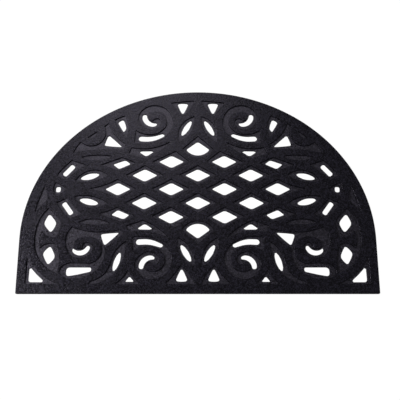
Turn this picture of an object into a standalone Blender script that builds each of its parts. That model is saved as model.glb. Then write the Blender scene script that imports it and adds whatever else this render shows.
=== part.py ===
"""Half round doormat: one openwork moulding of black rubber.

The mat is one flat piece. A straight front edge meets two short upright sides, and half an ellipse
closes the back. Pockets sunk in its upper face leave a pattern of raised bars, and holes through the
pocket floors let dirt and water fall through. The pattern is the same left and right, and most of it
is also the same front and back. Across is +X and the crown is towards +Y. The underside is plain.
"""
import math

import bmesh
import bpy

MM = 0.001

# Whole mat, in millimetres
WIDE = 762.0
DEEP = 457.0
STRAIGHT_SIDE = 116.0
THICK = 8.0
WEB_THICK = 5.0
MIDDLE_UP = DEEP / 2

# How finely curves are divided
RIM_STEPS = 96
ARC_STEP_DEGREES = 15.0
CORNER_STEPS = 3

# The middle of the pattern is a lattice of diamonds, measured between neighbours in millimetres
LATTICE_ACROSS = 116.5
LATTICE_UP = 63.0
DIAMOND_POCKET = (41.0, 22.0)
DIAMOND_POCKET_BOW = -0.7
DIAMOND_HOLE = (28.8, 15.1)
DIAMOND_ROUND = 6.0
# Lattice places in half steps, across and up: first the plain pockets, then all the holes
PLAIN_PLACES = [(0, -1), (0, 1), (-1, 0), (-2, -1), (-2, 1)]
HOLE_PLACES = PLAIN_PLACES + [(-1, -2), (-1, 2), (-3, 0)]

# Every other shape is a short table. Each row is one corner of the shape in millimetres:
# across and up from the middle of the straight edge, how far the side to the next corner
# bows outwards, and how far back from the corner the rounding starts.

# Pockets on the left that are also turned over to the back half
POCKETS_FRONT_AND_BACK = {
    "lattice edge diamond": [
        (-99.5, 166.5, 0, 0), (-58.3, 187.0, 0, 0), (-19.5, 165.5, 0, 0), (-49.0, 142.0, 0, 0)],
    "lattice end diamond": [
        (-214.0, 173.0, -2, 0), (-175.0, 187.0, 0, 0), (-137.0, 168.0, 0, 0), (-166.5, 155.5, 0, 0)],
    "long sliver": [
        (-257.0, 153.0, 8.5, 0), (-188.5, 151.0, 3.5, 0)],
    "side leaf": [
        (-268.0, 210.5, 8, 0), (-197.0, 197.0, 17.5, 0)],
    "flat pocket over the scroll": [
        (-153.5, 145.5, 0, 0), (-118.0, 157.5, 4.5, 0), (-60.0, 117.0, -9, 0), (-146.5, 132.0, 0, 0)],
    "middle leaf": [
        (-8.0, 59.5, 7, 0), (-43.0, 95.0, 1, 0), (-43.0, 120.0, 11.5, 3)],
    "scroll channel, outer wall then inner": [
        (-141.0, 120.5, 1, 0), (-106.0, 121.0, 4.5, 0), (-65.0, 97.5, 1.5, 0), (-55.5, 75.0, 3.5, 0),
        (-69.0, 42.0, 3.5, 0), (-102.0, 31.5, 4, 0), (-130.0, 50.0, 5, 0), (-126.0, 78.0, 1, 0),
        (-113.0, 87.0, 2.5, 0), (-91.0, 85.0, 4, 0), (-84.0, 67.0, 2.8, 0), (-98.0, 65.0, 0, 0),
        (-102.5, 69.0, -2.6, 0), (-111.5, 59.0, -3, 0), (-105.0, 48.0, -2, 0), (-84.0, 48.5, -2.7, 0),
        (-70.0, 66.0, -3.7, 0), (-78.0, 90.0, -3.7, 0), (-108.0, 101.5, -2.5, 0), (-138.5, 91.0, 0, 0)],
}

# How far forward of the exact mirror place these shapes lie on the back half
BACK_SHIFT = {
    "lattice end diamond": 1.0,
    "long sliver": 2.5,
    "flat pocket over the scroll": 1.3,
    "flat hole over the scroll": 2.5,
    "scroll channel, outer wall then inner": 1.2,
    "curved slot": 0.8,
    "crescent": 0.8,
}

# Pockets on the left only at the place given
POCKETS_ONCE = {
    "front triangle": [
        (-36.5, 59.5, -2, 0), (-69.0, 21.0, 0, 0), (-8.0, 20.5, 4.5, 0)],
    "back triangle": [
        (-36.5, 398.5, -1, 0), (-61.0, 430.5, 0.5, 0), (-9.0, 436.0, 4.5, 0)],
    "small front triangle": [
        (-147.5, 49.5, -3, 0), (-174.0, 20.5, 0, 0), (-122.0, 20.5, -1, 0)],
    "corner triangle": [
        (-361.5, 77.0, 0, 0), (-362.5, 20.5, 0, 0), (-295.0, 20.5, -7, 0)],
    "long curved leaf": [
        (-229.0, 20.5, 0, 0), (-227.0, 25.5, -3, 0), (-194.0, 45.0, -1, 0), (-184.0, 68.0, 6.5, 0),
        (-151.0, 112.5, -1, 0), (-156.0, 90.0, 0.5, 0), (-162.0, 63.0, 3, 0), (-190.0, 32.0, 1, 0),
        (-215.0, 21.5, 0, 0)],
    "lattice side diamond": [
        (-238.5, 228.5, -3.5, 0), (-175.5, 250.0, 0, 0), (-135.5, 228.5, 0, 0), (-175.5, 207.0, -3.5, 0)],
    "side crescent round a forked tongue": [
        (-322.0, 184.5, 1, 0), (-297.0, 156.0, 3, 0), (-303.0, 120.5, 0.5, 0), (-323.0, 124.5, 0, 0),
        (-335.5, 137.0, -3.5, 0), (-336.5, 95.0, 3, 0), (-316.0, 107.0, 0.5, 0), (-303.0, 105.0, 1, 0),
        (-295.0, 72.0, 1, 0), (-298.0, 43.5, 6, 0), (-342.0, 83.0, 2.3, 0), (-348.5, 120.0, 2.3, 0),
        (-338.0, 164.0, 1, 0)],
    "front side scroll, outer wall then inner": [
        (-292.0, 44.0, 1.5, 0), (-275.0, 32.5, 0.5, 0), (-244.0, 33.0, 2, 0), (-211.0, 52.5, 1.5, 0),
        (-200.0, 77.0, 0, 0), (-199.0, 97.0, 1.5, 0), (-162.0, 127.0, 1, 0), (-168.0, 137.0, -2.5, 0),
        (-230.0, 132.5, -1, 0), (-270.0, 143.0, 13, 0), (-269.0, 81.0, 3.5, 0), (-237.0, 79.5, 3, 0),
        (-225.0, 97.0, 3.5, 0), (-237.0, 109.0, 2, 0), (-245.5, 101.0, 0, 0), (-245.5, 96.3, -1.5, 0),
        (-261.0, 97.0, -3, 0), (-262.0, 112.0, -2, 0), (-245.0, 122.0, -1.5, 0), (-222.0, 119.5, -4, 0),
        (-204.5, 98.0, -2.5, 0), (-210.0, 76.0, -2, 0), (-230.0, 63.5, 0.8, 0), (-268.0, 64.5, 2.5, 0),
        (-288.5, 55.5, 1, 0)],
    "upper side wedge": [
        (-309.0, 259.0, 1.5, 0), (-278.0, 293.5, 0, 0), (-246.0, 283.5, -2, 0), (-289.0, 248.0, 0, 0)],
    "side drop": [
        (-310.5, 243.0, 1, 0), (-286.0, 228.0, 1, 0), (-308.5, 211.5, 5, 0)],
    "lower side wedge": [
        (-306.0, 197.0, 0, 0), (-284.5, 207.0, -2, 0), (-249.0, 171.5, -1, 0), (-276.0, 161.0, 2.5, 0)],
    "rim sliver": [
        (-334.0, 234.0, 0.5, 0), (-327.0, 205.0, 1, 0), (-352.0, 176.0, 1.5, 0)],
    "shoulder wedge": [
        (-186.0, 390.0, 0.5, 0), (-164.5, 399.5, 2, 0), (-155.0, 372.0, 0, 0), (-158.0, 348.0, 4, 0)],
    "shoulder pocket round a half disc": [
        (-276.0, 312.0, 1, 0), (-260.0, 337.5, -27.5, 0), (-209.0, 374.0, 0, 0), (-200.5, 381.0, -5.5, 0),
        (-161.5, 333.0, 0, 0), (-164.0, 319.0, -4.5, 0)],
    "cut in the half disc": [
        (-245.5, 346.5, 0.5, 0), (-224.5, 362.0, 6.5, 0)],
}

# Pocket on the centre line, turned over to the back
CENTRE_POCKET = [(-34.0, 137.0, 0.5, 0), (0.0, 106.5, 0.5, 0), (34.0, 137.0, 19.5, 0)]

# Holes on the left that are also turned over to the back half
HOLES_FRONT_AND_BACK = {
    "lattice end diamond": [
        (-188.0, 170.5, 0, 5), (-173.7, 182.0, 0, 5), (-147.5, 170.2, 0, 5), (-160.0, 160.3, 0, 5)],
    "flat hole over the scroll": [
        (-130.0, 140.6, 0, 3), (-114.5, 151.4, 0, 6), (-97.5, 140.0, 0, 3), (-103.0, 137.6, 0, 2),
        (-125.0, 137.9, 0, 2)],
    "curved slot": [
        (-131.0, 116.8, 5.2, 6), (-74.0, 105.2, 1, 4), (-77.8, 98.0, -3.5, 4), (-130.5, 104.0, 1.5, 6)],
    "crescent": [
        (-125.0, 54.5, 10.5, 3), (-95.3, 81.3, 1.4, 4), (-92.0, 72.5, -7.0, 4), (-115.3, 53.0, 1.5, 3)],
    "front triangle": [
        (-34.0, 55.0, 0.5, 8), (-47.3, 26.4, 0.8, 7), (-20.7, 26.4, 0.5, 7)],
    "inner wedge": [
        (-208.8, 128.0, 0.5, 6), (-167.3, 131.5, 0.5, 6), (-199.3, 102.3, 0.5, 6)],
}

# Holes on the left only at the place given
HOLES_ONCE = {
    "small front triangle": [
        (-143.8, 37.5, 0, 5), (-153.3, 25.3, 0, 4), (-134.3, 25.3, 0, 4)],
    "corner triangle": [
        (-356.0, 58.5, 0, 10), (-356.8, 24.5, 0, 7), (-321.5, 24.5, -1, 10)],
    "upper tall diamond": [
        (-321.5, 173.5, 0.5, 7), (-332.5, 151.0, 0.5, 7), (-314.7, 130.3, 0.5, 7), (-303.5, 152.0, 0.5, 7)],
    "lower tall diamond": [
        (-314.8, 103.0, 0.5, 7), (-331.0, 86.0, 0.5, 7), (-317.4, 60.4, 0.5, 7), (-302.4, 77.6, 0.5, 7)],
    "front side slot": [
        (-278.5, 56.2, 0, 9), (-225.0, 56.0, 0, 5), (-225.3, 47.0, 0.7, 4), (-278.5, 36.3, 0, 9)],
    "front side crescent": [
        (-266.0, 96.8, -7.7, 4), (-236.5, 103.5, 1, 4), (-229.2, 99.3, 13.8, 4), (-268.3, 91.7, 0.5, 4)],
    "shoulder wedge": [
        (-180.0, 384.7, 0.5, 5), (-167.7, 392.0, 1, 5), (-160.0, 368.0, 0, 5), (-166.0, 361.5, 0.5, 4)],
}

CENTRE_HOLE = [(-26.4, 137.0, 0, 5), (0.0, 117.5, 0, 6), (26.4, 137.0, 14, 5)]

# Leaf holes: middle across and up, length, width, turn in degrees, and whether it is also at the back
LEAF_HOLES = {
    "middle leaf": (-25.4, 86.2, 41.8, 13.0, 120.5, True),
    "side leaf": (-237.0, 199.9, 41.5, 14.4, -13.2, True),
    "long curved leaf": (-171.9, 67.9, 42.0, 13.0, 72.0, False),
}

# Straight slots with rounded corners: middle across and up, length, width, turn in degrees, rounding
SLOT_HOLES = {
    "upper side wedge": (-283.8, 271.0, 30.8, 12.0, 47.8, 5.0),
    "lower side wedge": (-282.3, 184.6, 33.0, 10.6, -53.5, 4.5),
    "side drop": (-304.8, 227.5, 12.8, 10.8, 90.0, 4.8),
}
LEAF_ROUND = 9.0
LEAF_ROUND_LOSS = 3.8


def side_points(start, end, bow, outward):
    """Return points along one side from start up to but not including end, bowed as an arc."""
    length = math.dist(start, end)
    if abs(bow) < 0.01:
        return [start]
    turn = 4 * math.atan(2 * abs(bow) / length)
    steps = max(2, math.ceil(math.degrees(turn) / ARC_STEP_DEGREES))
    radius = length / (2 * math.sin(turn / 2))
    along = ((end[0] - start[0]) / length, (end[1] - start[1]) / length)
    sideways = (along[1] * outward, -along[0] * outward)
    side = math.copysign(1.0, bow)
    points = []
    for step in range(steps):
        angle = turn * (step / steps - 0.5)
        forward = length / 2 + radius * math.sin(angle)
        out = side * radius * (math.cos(angle) - math.cos(turn / 2))
        points.append((start[0] + along[0] * forward + sideways[0] * out,
                       start[1] + along[1] * forward + sideways[1] * out))
    return points


def trimmed(points, distance):
    """Return the points left after the given length is cut from the start of a line."""
    left = distance
    for index in range(len(points) - 1):
        length = math.dist(points[index], points[index + 1])
        if left < length:
            share = left / length
            first = (points[index][0] + share * (points[index + 1][0] - points[index][0]),
                     points[index][1] + share * (points[index + 1][1] - points[index][1]))
            return [first] + points[index + 1:]
        left -= length
    return points[-2:]


def outline(rows):
    """Return the closed outline of a shape given by its rows of corners."""
    area = 0.0
    for index, row in enumerate(rows):
        after = rows[(index + 1) % len(rows)]
        area += row[0] * after[1] - after[0] * row[1]
    outward = 1.0 if area > 0 else -1.0
    if len(rows) == 2:
        outward = -1.0
    sides = []
    for index, row in enumerate(rows):
        after = rows[(index + 1) % len(rows)]
        line = side_points(row[:2], after[:2], row[2], outward) + [after[:2]]
        sides.append(trimmed(trimmed(line, row[3])[::-1], after[3])[::-1])
    points = []
    for index, row in enumerate(rows):
        before = sides[index - 1][-1]
        after = sides[index][0]
        if row[3] > 0:
            for step in range(CORNER_STEPS):
                share = step / CORNER_STEPS
                weights = ((1 - share) ** 2, 2 * share * (1 - share), share ** 2)
                points.append(tuple(weights[0] * before[axis] + weights[1] * row[axis]
                                    + weights[2] * after[axis] for axis in (0, 1)))
        points.extend(sides[index][:-1])
    return points


def diamond(across, up, half_sizes, bow, rounding):
    """Return the rows of a diamond from its middle and its half width and half height."""
    return [(across - half_sizes[0], up, bow, rounding), (across, up + half_sizes[1], bow, rounding),
            (across + half_sizes[0], up, bow, rounding), (across, up - half_sizes[1], bow, rounding)]


def leaf(across, up, length, width, turn):
    """Return the rows of a leaf with blunt ends, of the given length over its rounded ends."""
    reach = length / 2 + LEAF_ROUND_LOSS
    shift = (reach * math.cos(math.radians(turn)), reach * math.sin(math.radians(turn)))
    return [(across - shift[0], up - shift[1], width / 2, LEAF_ROUND),
            (across + shift[0], up + shift[1], width / 2, LEAF_ROUND)]


def slot(across, up, length, width, turn, rounding):
    """Return the rows of a straight slot with rounded corners."""
    along = (math.cos(math.radians(turn)), math.sin(math.radians(turn)))
    rows = []
    for forward, aside in ((-1, -1), (1, -1), (1, 1), (-1, 1)):
        rows.append((across + forward * along[0] * length / 2 - aside * along[1] * width / 2,
                     up + forward * along[1] * length / 2 + aside * along[0] * width / 2, 0, rounding))
    return rows


def turned_over(points, forward=0.0):
    """Return an outline moved from the front half to its mirror place in the back half."""
    return [(across, DEEP - up - forward) for across, up in points]


def both_sides(outlines):
    """Return the outlines with their mirror images on the right."""
    return outlines + [[(-across, up) for across, up in points] for points in outlines]


def extruded(name, outlines, low, high):
    """Return a mesh object made from closed flat outlines, between two heights in millimetres."""
    curve = bpy.data.curves.new(name, "CURVE")
    curve.dimensions = "2D"
    curve.fill_mode = "BOTH"
    curve.extrude = (high - low) / 2 * MM
    for points in outlines:
        spline = curve.splines.new("POLY")
        spline.points.add(len(points) - 1)
        for place, (across, up) in zip(spline.points, points):
            place.co = (across * MM, (up - MIDDLE_UP) * MM, 0, 1)
        spline.use_cyclic_u = True
    drawn = bpy.data.objects.new(name + " outline", curve)
    bpy.context.scene.collection.objects.link(drawn)
    drawn.location.z = (low + high) / 2 * MM
    bpy.context.view_layer.update()
    seen = drawn.evaluated_get(bpy.context.evaluated_depsgraph_get())
    mesh = bpy.data.meshes.new_from_object(seen)
    mesh.transform(drawn.matrix_world)
    work = bmesh.new()
    work.from_mesh(mesh)
    bmesh.ops.remove_doubles(work, verts=work.verts, dist=0.00001)
    bmesh.ops.recalc_face_normals(work, faces=work.faces)
    work.to_mesh(mesh)
    work.free()
    bpy.data.objects.remove(drawn)
    bpy.data.curves.remove(curve)
    mesh.name = name
    return bpy.data.objects.new(name, mesh)


for old in list(bpy.data.objects):
    bpy.data.objects.remove(old)

part = bpy.data.collections.new("half round doormat")
cutters = bpy.data.collections.new("cutters")
bpy.context.scene.collection.children.link(part)
bpy.context.scene.collection.children.link(cutters)

# The rim runs along the straight edge, up one side, round half an ellipse and down the other side.
rim = [(-WIDE / 2, 0.0), (WIDE / 2, 0.0)]
for step in range(RIM_STEPS + 1):
    angle = math.pi * step / RIM_STEPS
    rim.append((WIDE / 2 * math.cos(angle), STRAIGHT_SIDE + (DEEP - STRAIGHT_SIDE) * math.sin(angle)))
mat = extruded("mat", [rim], 0.0, THICK)
part.objects.link(mat)

# Pockets sunk in the upper face, which leave the raised bars between them
left_pockets = []
centre_pockets = [outline(CENTRE_POCKET), turned_over(outline(CENTRE_POCKET))]
for across, up in PLAIN_PLACES:
    middle = (across * LATTICE_ACROSS / 2, MIDDLE_UP + up * LATTICE_UP / 2)
    rows = diamond(*middle, DIAMOND_POCKET, DIAMOND_POCKET_BOW, 0)
    (left_pockets if across else centre_pockets).append(outline(rows))
for name, rows in POCKETS_FRONT_AND_BACK.items():
    left_pockets += [outline(rows), turned_over(outline(rows), BACK_SHIFT.get(name, 0.0))]
for rows in POCKETS_ONCE.values():
    left_pockets.append(outline(rows))
pockets = extruded("pocket cutter", both_sides(left_pockets) + centre_pockets, WEB_THICK, THICK + 4)

# Holes through the pocket floors
left_holes = []
centre_holes = [outline(CENTRE_HOLE), turned_over(outline(CENTRE_HOLE))]
for across, up in HOLE_PLACES:
    middle = (across * LATTICE_ACROSS / 2, MIDDLE_UP + up * LATTICE_UP / 2)
    rows = diamond(*middle, DIAMOND_HOLE, 0, DIAMOND_ROUND)
    (left_holes if across else centre_holes).append(outline(rows))
for name, rows in HOLES_FRONT_AND_BACK.items():
    left_holes += [outline(rows), turned_over(outline(rows), BACK_SHIFT.get(name, 0.0))]
for rows in HOLES_ONCE.values():
    left_holes.append(outline(rows))
for across, up, length, width, turn, at_back in LEAF_HOLES.values():
    shape = outline(leaf(across, up, length, width, turn))
    left_holes.append(shape)
    if at_back:
        left_holes.append(turned_over(shape))
for row in SLOT_HOLES.values():
    left_holes.append(outline(slot(*row)))
holes = extruded("hole cutter", both_sides(left_holes) + centre_holes, -4.0, THICK + 4)

for cutter in (pockets, holes):
    cutters.objects.link(cutter)
    cutter.hide_render = True
    cutter.display_type = "WIRE"
    cut = mat.modifiers.new("cut by " + cutter.name, "BOOLEAN")
    cut.operation = "DIFFERENCE"
    cut.solver = "EXACT"
    cut.object = cutter

rubber = bpy.data.materials.new("moulded black rubber")
rubber.use_nodes = True
surface = rubber.node_tree.nodes["Principled BSDF"]
surface.inputs["Base Color"].default_value = (0.018, 0.018, 0.02, 1)
surface.inputs["Roughness"].default_value = 0.7
mat.data.materials.append(rubber)
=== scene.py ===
import math

import bmesh
import bpy
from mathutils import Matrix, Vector


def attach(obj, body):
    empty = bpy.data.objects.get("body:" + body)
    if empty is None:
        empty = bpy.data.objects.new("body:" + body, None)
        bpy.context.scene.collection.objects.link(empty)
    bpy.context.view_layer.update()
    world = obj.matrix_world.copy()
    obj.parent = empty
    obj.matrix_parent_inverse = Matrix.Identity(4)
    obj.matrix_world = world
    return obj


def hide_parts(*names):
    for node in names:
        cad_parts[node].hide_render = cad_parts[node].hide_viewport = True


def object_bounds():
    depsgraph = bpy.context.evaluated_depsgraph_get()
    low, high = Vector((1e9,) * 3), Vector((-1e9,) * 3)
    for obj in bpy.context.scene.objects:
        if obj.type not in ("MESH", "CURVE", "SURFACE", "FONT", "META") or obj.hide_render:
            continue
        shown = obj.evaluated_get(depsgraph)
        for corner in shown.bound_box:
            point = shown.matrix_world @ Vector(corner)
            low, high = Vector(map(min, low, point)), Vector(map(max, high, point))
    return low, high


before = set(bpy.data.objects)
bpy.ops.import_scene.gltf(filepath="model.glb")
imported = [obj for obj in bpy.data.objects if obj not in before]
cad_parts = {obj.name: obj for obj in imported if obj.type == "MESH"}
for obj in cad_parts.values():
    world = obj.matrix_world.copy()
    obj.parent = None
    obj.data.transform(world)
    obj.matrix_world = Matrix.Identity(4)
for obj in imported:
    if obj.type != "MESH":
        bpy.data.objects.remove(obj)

cad_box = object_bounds()

# The mat is one moulding of black rubber, 8 mm thick: bars stand 3 mm above a thinner web, and the web is
# pierced by open holes. It lies loose and flat. The outlines of its pockets and holes are read from the
# solid and drawn finely, and the edges get the small roundness and the lean that a mould gives them.
BAR_TOP = 0.008
WEB_TOP = 0.005
BAR_EDGE = 0.0009
WEB_EDGE = 0.0005
UNDER_EDGE = 0.0004
WALL_LEAN = 0.0002
EDGE_STEPS = 4
BAR_TIP = 0.0015
POCKET_CORNER = 0.0006
RIM_CORNER = 0.0020
POCKET_SHARP = math.radians(40)
HOLE_SHARP = math.radians(60)
CREASE = math.radians(50)
FLAT = 0.5
LEVEL_SLACK = 0.0001
SOLID_WELD = 0.00001
DRAWN_WELD = 0.000005
STRAIGHT = math.radians(0.1)
FINE_TURN = math.radians(5)
CORNER_TURN = math.radians(12)
LONG_SIDE = 2.2


def flat_outlines(work, level):
    """Return the closed outlines, in plan, of the flat faces that lie at a level."""
    neighbours = {}
    for edge in work.edges:
        flat_faces = [face for face in edge.link_faces if abs(face.normal.z) > FLAT]
        if len(flat_faces) == 1 and all(abs(vert.co.z - level) < LEVEL_SLACK for vert in edge.verts):
            for vert in edge.verts:
                neighbours.setdefault(vert, []).append(edge.other_vert(vert))
    outlines = []
    while neighbours:
        vert = next(iter(neighbours))
        outline = []
        while vert in neighbours:
            outline.append(vert.co.to_2d())
            onward = [near for near in neighbours.pop(vert) if near in neighbours]
            vert = onward[0] if onward else None
        outlines.append(outline)
    return outlines


def turned_left(outline):
    """Return an outline that runs anticlockwise."""
    area = sum(point.x * outline[index - 1].y - outline[index - 1].x * point.y
               for index, point in enumerate(outline))
    return outline if area < 0 else outline[::-1]


def shared_direction(before, corner, after, sharp_turn):
    """Return the direction of the curve at a corner of its chords, or None where the corner is sharp."""
    coming = corner - before
    going = after - corner
    if coming.angle(going, math.pi) > sharp_turn:
        return None
    if coming.length > LONG_SIDE * going.length:
        return coming.normalized()
    if going.length > LONG_SIDE * coming.length:
        return going.normalized()
    return (coming.normalized() * going.length + going.normalized() * coming.length).normalized()


def mirrored_direction(direction, chord):
    """Return the direction that an arc over this chord has at its other end."""
    along = chord.normalized()
    return 2 * direction.dot(along) * along - direction


def arc_points(before, start, end, after, sharp_turn):
    """Return the points from start to end that turn a straight chord into part of a curve."""
    chord = end - start
    leaving = shared_direction(before, start, end, sharp_turn)
    arriving = shared_direction(start, end, after, sharp_turn)
    if leaving is None and arriving is None:
        return [start, end]
    if leaving is None:
        leaving = mirrored_direction(arriving, chord)
    if arriving is None:
        arriving = mirrored_direction(leaving, chord)
    pieces = max(1, math.ceil(leaving.angle(arriving, 0) / FINE_TURN))
    points = []
    for piece in range(pieces + 1):
        share = piece / pieces
        points.append(start + chord * (3 * share ** 2 - 2 * share ** 3)
                      + leaving * chord.length * (share - 2 * share ** 2 + share ** 3)
                      + arriving * chord.length * (share ** 3 - share ** 2))
    return points


def cut_back(line, distance):
    """Return a line of points without the given length at its start."""
    for index in range(len(line) - 1):
        run = line[index + 1] - line[index]
        if run.length > distance:
            return [line[index] + run.normalized() * distance] + line[index + 1:]
        distance -= run.length
    return line[-1:]


def finely_drawn(outline, sharp_turn, outer_radius, inner_radius):
    """Return an outline with its curves drawn finely and its sharp corners rounded."""
    corners = []
    for index, point in enumerate(outline):
        coming = point - outline[index - 1]
        going = outline[(index + 1) % len(outline)] - point
        if coming.angle(going, 0) > STRAIGHT:
            corners.append(point)
    count = len(corners)
    sharp = []
    for index, corner in enumerate(corners):
        following = corners[(index + 1) % count]
        if shared_direction(corners[index - 1], corner, following, sharp_turn) is None:
            sharp.append(index)
    if sharp:
        corners = corners[sharp[0]:] + corners[:sharp[0]]

    # The curved sides run from one sharp corner to the next
    sides = []
    side = []
    for index, corner in enumerate(corners):
        following = corners[(index + 1) % count]
        beyond = corners[(index + 2) % count]
        side += arc_points(corners[index - 1], corner, following, beyond, sharp_turn)[1 if side else 0:]
        if shared_direction(corner, following, beyond, sharp_turn) is None:
            sides.append(side)
            side = []
    if not sharp:
        return side[:-1]

    # Each sharp corner becomes an arc that meets the two sides where they are cut back
    points = []
    for index, side in enumerate(sides):
        before = sides[index - 1]
        coming = (before[-1] - before[-2]).normalized()
        going = (side[1] - side[0]).normalized()
        turn = coming.angle(going)
        radius = outer_radius if coming.cross(going) > 0 else inner_radius
        setback = radius * math.tan(turn / 2)
        start = cut_back(before[::-1], setback)[0]
        end = cut_back(side, setback)[0]
        steps = math.ceil(turn / CORNER_TURN)
        for step in range(steps + 1):
            share = step / steps
            pulls = ((1 - share) ** 2, 2 * share * (1 - share) * math.cos(turn / 2), share ** 2)
            points.append((start * pulls[0] + side[0] * pulls[1] + end * pulls[2]) / sum(pulls))
        after = sides[(index + 1) % len(sides)]
        next_turn = (side[-1] - side[-2]).angle(after[1] - after[0])
        leaving = (side[-1] - side[-2]).cross(after[1] - after[0]) > 0
        next_setback = (outer_radius if leaving else inner_radius) * math.tan(next_turn / 2)
        points += cut_back(cut_back(side, setback)[::-1], next_setback)[::-1][1:-1]
    return points


def moved_out(outline, distance):
    """Return an anticlockwise outline moved outwards by a distance."""
    moved = []
    for index, point in enumerate(outline):
        coming = (point - outline[index - 1]).normalized()
        going = (outline[(index + 1) % len(outline)] - point).normalized()
        mitre = Vector((coming.y + going.y, -coming.x - going.x))
        moved.append(point + mitre * distance / (1 + coming.dot(going)))
    return moved


def flat_sheet(outlines, level):
    """Add a mesh that fills the outlines, less those inside them, at one level."""
    curve = bpy.data.curves.new("flat sheet", "CURVE")
    curve.dimensions = "2D"
    curve.fill_mode = "BOTH"
    for outline in outlines:
        spline = curve.splines.new("POLY")
        spline.points.add(len(outline) - 1)
        for place, point in zip(spline.points, outline):
            place.co = (point.x, point.y, 0, 1)
        spline.use_cyclic_u = True
    sheet = bpy.data.objects.new("flat sheet", curve)
    sheet.location.z = level
    bpy.context.scene.collection.objects.link(sheet)
    sheet.select_set(True)


def wall(outline, steps):
    """Add a wall along an outline, with one row of corners for each distance outwards and level."""
    work = bmesh.new()
    rows = []
    for distance, level in steps:
        rows.append([work.verts.new((point.x, point.y, level)) for point in moved_out(outline, distance)])
    for upper, lower in zip(rows, rows[1:]):
        for index in range(len(outline)):
            work.faces.new((upper[index - 1], upper[index], lower[index], lower[index - 1]))
    mesh = bpy.data.meshes.new("wall")
    work.to_mesh(mesh)
    work.free()
    made = bpy.data.objects.new("wall", mesh)
    bpy.context.scene.collection.objects.link(made)
    made.select_set(True)


def rounded_edge(radius, level, down):
    """Return the steps from a flat face at a level, over its rounded edge, to the wall below or above it."""
    steps = []
    for step in range(EDGE_STEPS):
        angle = math.pi / 2 * step / (EDGE_STEPS - 1)
        drop = radius * (1 - math.cos(angle))
        steps.append((radius * (1 - math.sin(angle)), level - drop if down else level + drop))
    return steps


def inwards(steps):
    """Return the steps of an edge on the other side of its outline."""
    return [(-distance, level) for distance, level in steps]


bpy.ops.object.select_all(action="DESELECT")
work = bmesh.new()
work.from_mesh(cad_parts["mat"].data)
bmesh.ops.remove_doubles(work, verts=work.verts, dist=SOLID_WELD)
upper_outlines = sorted((turned_left(outline) for outline in flat_outlines(work, BAR_TOP)),
                        key=lambda outline: max(point.x for point in outline))
under_outlines = sorted((turned_left(outline) for outline in flat_outlines(work, 0.0)),
                        key=lambda outline: max(point.x for point in outline))
work.free()
rim = finely_drawn(upper_outlines[-1], POCKET_SHARP, RIM_CORNER, RIM_CORNER)
pockets = [finely_drawn(outline, POCKET_SHARP, POCKET_CORNER, BAR_TIP) for outline in upper_outlines[:-1]]
holes = [finely_drawn(outline, HOLE_SHARP, POCKET_CORNER, POCKET_CORNER) for outline in under_outlines[:-1]]

# The faces of the moulding are drawn one by one: the walls of the rim, the pockets and the holes with
# their round edges, and the three flat sheets that they leave, which are the bars, the web and the underside
wall(rim, inwards(rounded_edge(BAR_EDGE, BAR_TOP, True) + rounded_edge(UNDER_EDGE, 0.0, False)[::-1]))
for outline in pockets:
    wall(outline, rounded_edge(BAR_EDGE, BAR_TOP, True) + [(-WALL_LEAN, WEB_TOP)])
for outline in holes:
    wall(outline, rounded_edge(WEB_EDGE, WEB_TOP, True) + rounded_edge(UNDER_EDGE, 0.0, False)[::-1])
flat_sheet([moved_out(rim, -BAR_EDGE)] + [moved_out(outline, BAR_EDGE) for outline in pockets], BAR_TOP)
flat_sheet([moved_out(outline, -WALL_LEAN) for outline in pockets]
           + [moved_out(outline, WEB_EDGE) for outline in holes], WEB_TOP)
flat_sheet([moved_out(rim, -UNDER_EDGE)] + [moved_out(outline, UNDER_EDGE) for outline in holes], 0.0)
bpy.context.view_layer.objects.active = bpy.context.selected_objects[0]
bpy.ops.object.convert(target="MESH")
bpy.ops.object.transform_apply(location=True)
bpy.ops.object.join()
mat = bpy.context.object
mat.name = "rubber_mat"
bpy.ops.object.mode_set(mode="EDIT")
bpy.ops.mesh.select_all(action="SELECT")
bpy.ops.mesh.remove_doubles(threshold=DRAWN_WELD)
bpy.ops.mesh.normals_make_consistent(inside=False)
bpy.ops.object.mode_set(mode="OBJECT")
bpy.ops.object.shade_smooth_by_angle(angle=CREASE)
soften = mat.modifiers.new("flat faces stay flat", "WEIGHTED_NORMAL")
soften.keep_sharp = True
bpy.ops.object.modifier_apply(modifier=soften.name)
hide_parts("mat")
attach(mat, "root")


def linear(colour):
    """Return the linear value of an sRGB hex colour."""
    parts = [int(colour[place:place + 2], 16) / 255 for place in (1, 3, 5)]
    return [part / 12.92 if part <= 0.04045 else ((part + 0.055) / 1.055) ** 2.4 for part in parts] + [1.0]


def add_node(tree, kind, settings, inputs):
    """Add a node with its settings. Each input is a value, or a node and the name of its output."""
    made = tree.nodes.new(kind)
    for name, value in settings.items():
        setattr(made, name, value)
    for name, value in inputs.items():
        if isinstance(value, tuple) and isinstance(value[0], bpy.types.Node):
            tree.links.new(value[0].outputs[value[1]], made.inputs[name])
        else:
            made.inputs[name].default_value = value
    return made


# Recycled rubber, pressed hot in a steel mould: black with a violet cast, and speckled by paler, duller
# crumbs. Feet rub the bars smooth, the web keeps the wider shine of the mould, and the walls scrape along it
# and are matt. The walls also carry painted shade: their pale crumbs are darker and they have no shine, so
# they read as the dark shadow lines along the pockets and holes. The real grain is about 0.5 mm, too fine to
# show, so it is drawn at 2 mm and 5 mm.
GRAIN = 0.0022
CRUMB = 0.005
CLOUD = 0.03
GRAIN_DETAIL = 2.0
GRAIN_BREAK_UP = 0.6
CLOUD_DETAIL = 3.0
CLOUD_BREAK_UP = 0.5
GRAIN_SHARE = 2.0
PALE_FROM = 1.32
PALE_TO = 1.97
DULL_FROM = 1.2
DULL_TO = 1.8
CLOUD_FROM = 0.3
CLOUD_TO = 0.7
BLOOM = 0.05
GRAIN_HEIGHT = 0.0005
CRUMB_HEIGHT = 0.0004
WEB_BELOW = 0.0055
STEEP = 0.5
VIOLET_SHINE = linear("#f2ebff")


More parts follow.
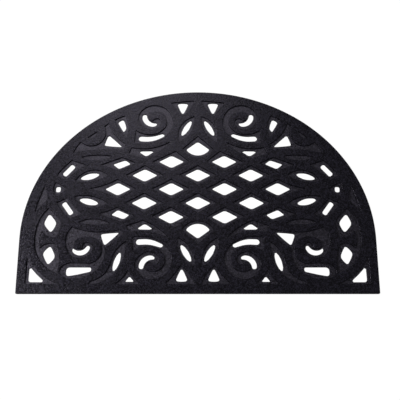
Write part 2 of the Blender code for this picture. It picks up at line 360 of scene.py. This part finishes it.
def rubber_material(name, dark, pale, shine, rough_low, rough_high):
    """Return a speckled rubber with the colours of its dark and pale crumbs, and its gloss."""
    made = bpy.data.materials.new(name)
    made.use_nodes = True
    tree = made.node_tree
    surface = tree.nodes["Principled BSDF"]
    place = add_node(tree, "ShaderNodeTexCoord", {}, {})
    grain = add_node(tree, "ShaderNodeTexNoise", {}, {
        "Vector": (place, "Object"), "Scale": 1 / GRAIN,
        "Detail": GRAIN_DETAIL, "Roughness": GRAIN_BREAK_UP})
    crumb = add_node(tree, "ShaderNodeTexNoise", {}, {
        "Vector": (place, "Object"), "Scale": 1 / CRUMB,
        "Detail": GRAIN_DETAIL, "Roughness": GRAIN_BREAK_UP})
    cloud = add_node(tree, "ShaderNodeTexNoise", {}, {
        "Vector": (place, "Object"), "Scale": 1 / CLOUD,
        "Detail": CLOUD_DETAIL, "Roughness": CLOUD_BREAK_UP})
    both = add_node(tree, "ShaderNodeMath", {"operation": "MULTIPLY_ADD"}, {
        0: (grain, "Fac"), 1: GRAIN_SHARE, 2: (crumb, "Fac")})
    paleness = add_node(tree, "ShaderNodeMapRange", {}, {
        "Value": (both, "Value"), "From Min": PALE_FROM, "From Max": PALE_TO})
    colour = add_node(tree, "ShaderNodeMix", {"data_type": "RGBA"}, {
        "Factor": (paleness, "Result"), "A": linear(dark), "B": linear(pale)})
    dullness = add_node(tree, "ShaderNodeMapRange", {}, {
        "Value": (both, "Value"), "From Min": DULL_FROM, "From Max": DULL_TO,
        "To Min": rough_low, "To Max": rough_high})
    bloom = add_node(tree, "ShaderNodeMapRange", {}, {
        "Value": (cloud, "Fac"), "From Min": CLOUD_FROM, "From Max": CLOUD_TO,
        "To Min": -BLOOM, "To Max": BLOOM})
    gloss = add_node(tree, "ShaderNodeMath", {"operation": "ADD"}, {
        0: (dullness, "Result"), 1: (bloom, "Result")})
    pebbled = add_node(tree, "ShaderNodeBump", {}, {
        "Height": (grain, "Fac"), "Strength": 1.0, "Distance": GRAIN_HEIGHT})
    rolling = add_node(tree, "ShaderNodeBump", {}, {
        "Height": (crumb, "Fac"), "Strength": 1.0, "Distance": CRUMB_HEIGHT, "Normal": (pebbled, "Normal")})
    tree.links.new(colour.outputs["Result"], surface.inputs["Base Color"])
    tree.links.new(gloss.outputs["Value"], surface.inputs["Roughness"])
    tree.links.new(rolling.outputs["Normal"], surface.inputs["Normal"])
    surface.inputs["Specular IOR Level"].default_value = shine
    surface.inputs["Specular Tint"].default_value = VIOLET_SHINE
    return made


mat.data.materials.clear()
mat.data.materials.append(rubber_material(
    "pressed recycled rubber, worn face", "#060608", "#32303d", 0.48, 0.23, 0.34))
mat.data.materials.append(rubber_material(
    "pressed recycled rubber, mould skin", "#020203", "#4d4a57", 0.82, 0.28, 0.42))
# The wall rubber is painted shade: its pale crumbs are darker than those of the bars and it has no shine, so
# the walls read as dark shadow lines.
mat.data.materials.append(rubber_material(
    "pressed recycled rubber, wall in painted shade", "#060608", "#24222b", 0.0, 0.85, 0.95))

# The steep faces are the walls, which take the rubber in painted shade, and the level ones below the bars
# are the web and the underside
for face in mat.data.polygons:
    if abs(face.normal.z) < STEEP:
        face.material_index = 2
    elif face.center.z < WEB_BELOW:
        face.material_index = 1

# The floor is the opal acrylic sheet of a light table, a plain white that is lit evenly from below, so the
# mat throws no shadow on it, as in the photograph.
FLOOR_SIDE = 8.0
FLOOR_GAP = 0.0002
bpy.ops.object.select_all(action="DESELECT")
bpy.ops.mesh.primitive_plane_add(size=FLOOR_SIDE, location=(0, 0, cad_box[0][2] - FLOOR_GAP))
floor = bpy.context.object
floor.name = "floor"
acrylic = bpy.data.materials.new("opal cast acrylic")
acrylic.use_nodes = True
sheet = acrylic.node_tree.nodes["Principled BSDF"]
sheet.inputs["Base Color"].default_value = linear("#3c3c3c")
sheet.inputs["Roughness"].default_value = 0.9
sheet.inputs["Specular IOR Level"].default_value = 0.1
sheet.inputs["Emission Color"].default_value = (1, 1, 1, 1)
sheet.inputs["Emission Strength"].default_value = 1.0
floor.data.materials.append(acrylic)

# Two soft boxes light the mat: a weak one behind it, which shines on the bars near the crown, and a strong
# one on the left. So the left half shines a little, the right half stays black, and each wall that faces
# right or forwards has a thin shadow. The room is dim, and only its far backdrop is white.
SURROUND = 0.115
BACKDROP = 1.0


def soft_box(name, place, side, watts):
    """Add a square area light that faces the middle of the mat."""
    light = bpy.data.lights.new(name, "AREA")
    light.size = side
    light.energy = watts
    holder = bpy.data.objects.new(name, light)
    holder.location = place
    holder.rotation_euler = (-Vector(place)).to_track_quat("-Z", "Y").to_euler()
    bpy.context.scene.collection.objects.link(holder)


soft_box("soft box behind", (-0.300, 0.830, 1.110), 0.60, 2.60)
soft_box("soft box on the left", (-1.840, 0.060, 1.540), 0.60, 27.5)
world = bpy.data.worlds.new("studio")
world.use_nodes = True
backdrop = world.node_tree.nodes["Background"]
backdrop.inputs["Color"].default_value = (1, 1, 1, 1)
seen = add_node(world.node_tree, "ShaderNodeLightPath", {}, {})
brightness = add_node(world.node_tree, "ShaderNodeMapRange", {}, {
    "Value": (seen, "Is Camera Ray"), "To Min": SURROUND, "To Max": BACKDROP})
world.node_tree.links.new(brightness.outputs["Result"], backdrop.inputs["Strength"])
bpy.context.scene.world = world
bpy.context.scene.view_settings.view_transform = "Standard"

# The camera stands straight in front of the mat and looks down at it, as in the photograph.
ELEVATION = math.radians(74.52)
DISTANCE = 1.402
AIM = Vector((0.0048, -0.0237, 0.0))
LENS = 57.84
lens = bpy.data.cameras.new("camera")
lens.lens = LENS
lens.sensor_width = 36.0
camera = bpy.data.objects.new("camera", lens)
camera.location = AIM + Vector((0, -math.cos(ELEVATION), math.sin(ELEVATION))) * DISTANCE
camera.rotation_euler = (math.pi / 2 - ELEVATION, 0, 0)
bpy.context.scene.collection.objects.link(camera)
bpy.context.scene.camera = camera
